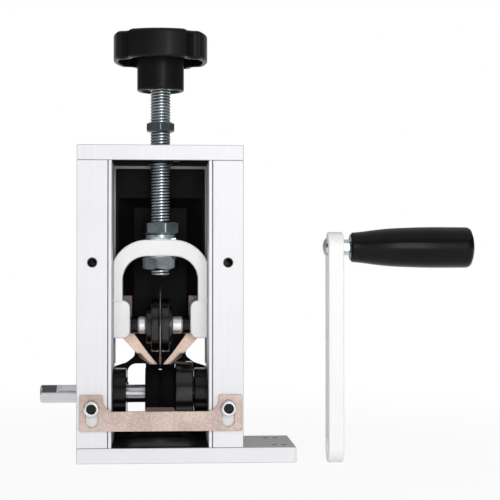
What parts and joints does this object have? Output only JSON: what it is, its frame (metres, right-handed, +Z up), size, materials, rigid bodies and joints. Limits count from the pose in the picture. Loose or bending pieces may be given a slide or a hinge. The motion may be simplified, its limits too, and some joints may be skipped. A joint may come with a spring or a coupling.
{
  "type": "hand crank wire stripper",
  "caption": "Bench frame with a screw-fed round blade in a sliding yoke above a knurled drive wheel, slotted guide plate in front, rear cover, and a hand crank standing beside it.",
  "frame": {"origin": "underside of the base plate, under the middle of the opening between the two uprights", "axes": "+Z up along the feed spindle, +X to the right along the drive shaft and the long end of the base, -Y towards the operator and the front guide plate"},
  "size_m": [0.2837, 0.0794, 0.2843],
  "materials": {
    "plate_aluminium": "satin",
    "bright_casting": "bright satin",
    "black_sheet": "satin",
    "black_oxide": "blackened",
    "copper_plating": "copper plated, satin",
    "zinc_steel": "zinc plated",
    "stainless": "bright",
    "polished_steel": "polished",
    "yellow_brass": "satin",
    "black_plastic": "satin",
    "gloss_plastic": "glossy",
    "black_rubber": "matt"
  },
  "bodies": {
    "frame": {"base_plate": "plate_aluminium", "left_upright": "plate_aluminium", "right_upright": "plate_aluminium", "left_guide_strip": "plate_aluminium", "right_guide_strip": "plate_aluminium", "top_plate": "plate_aluminium", "top_screw_1": "stainless", "top_screw_2": "stainless", "top_screw_3": "stainless", "top_screw_4": "stainless", "base_screw_1": "stainless", "base_screw_2": "stainless", "base_screw_3": "stainless", "base_screw_4": "stainless", "floor_liner": "black_rubber", "cover_frame": "plate_aluminium", "rear_cover": "black_sheet", "cover_screw_1": "stainless", "cover_screw_2": "stainless", "rear_bridge": "black_sheet", "bridge_screw_1": "black_oxide", "bridge_screw_2": "black_oxide", "guide_plate_screw_1": "stainless", "guide_plate_screw_2": "stainless", "left_bearing_housing": "black_oxide", "right_bearing_housing": "black_oxide", "left_bearing": "polished_steel", "right_bearing": "polished_steel", "crank_arm": "bright_casting", "crank_set_screw": "black_oxide", "grip_bolt": "polished_steel", "grip_nut": "zinc_steel"},
    "guide_plate": {"front_guide_plate": "copper_plating"},
    "drive": {"drive_shaft": "polished_steel", "drive_wheel": "black_oxide", "drive_sleeve": "black_oxide", "sleeve_set_screw": "black_oxide"},
    "yoke": {"yoke": "bright_casting", "left_v_guide": "copper_plating", "right_v_guide": "copper_plating", "v_guide_screw_1": "stainless", "v_guide_screw_2": "stainless", "blade_axle": "black_oxide", "left_collar": "black_oxide", "right_collar": "black_oxide", "left_spacer": "stainless", "right_spacer": "stainless"},
    "blade": {"blade": "polished_steel", "left_blade_flange": "black_oxide", "right_blade_flange": "black_oxide", "blade_bushing": "yellow_brass"},
    "spindle": {"feed_spindle": "zinc_steel", "lower_nut": "zinc_steel", "spring_washer": "zinc_steel", "upper_nut": "zinc_steel", "jam_nut": "zinc_steel", "knob_insert": "yellow_brass", "star_knob": "black_plastic"},
    "grip": {"crank_grip": "gloss_plastic"}
  },
  "joints": [
    {"name": "yoke_slide", "type": "slide", "parent": "frame", "child": "yoke", "axis": [0, 0, 1], "range_m": [0, 0.03]},
    {"name": "knob_turn", "type": "hinge", "parent": "yoke", "child": "spindle", "pos_m": [0, 0, 0.2], "axis": [0, 0, 1], "range_deg": [0, 5400]},
    {"name": "blade_spin", "type": "hinge", "parent": "yoke", "child": "blade", "pos_m": [0, 0, 0.0883], "axis": [1, 0, 0], "continuous": true},
    {"name": "drive_spin", "type": "hinge", "parent": "frame", "child": "drive", "pos_m": [0, 0, 0.0426], "axis": [1, 0, 0], "continuous": true},
    {"name": "guide_plate_slide", "type": "slide", "parent": "frame", "child": "guide_plate", "axis": [0, 0, 1], "range_m": [-0.0015, 0.008]},
    {"name": "grip_spin", "type": "hinge", "parent": "frame", "child": "grip", "pos_m": [0.1136, -0.033, 0.14], "axis": [1, 0, 0], "continuous": true}
  ],
  "couplings": [
    {"joint": "yoke_slide", "follows": "knob_turn", "m_per_rad": 0.00031831}
  ]
}
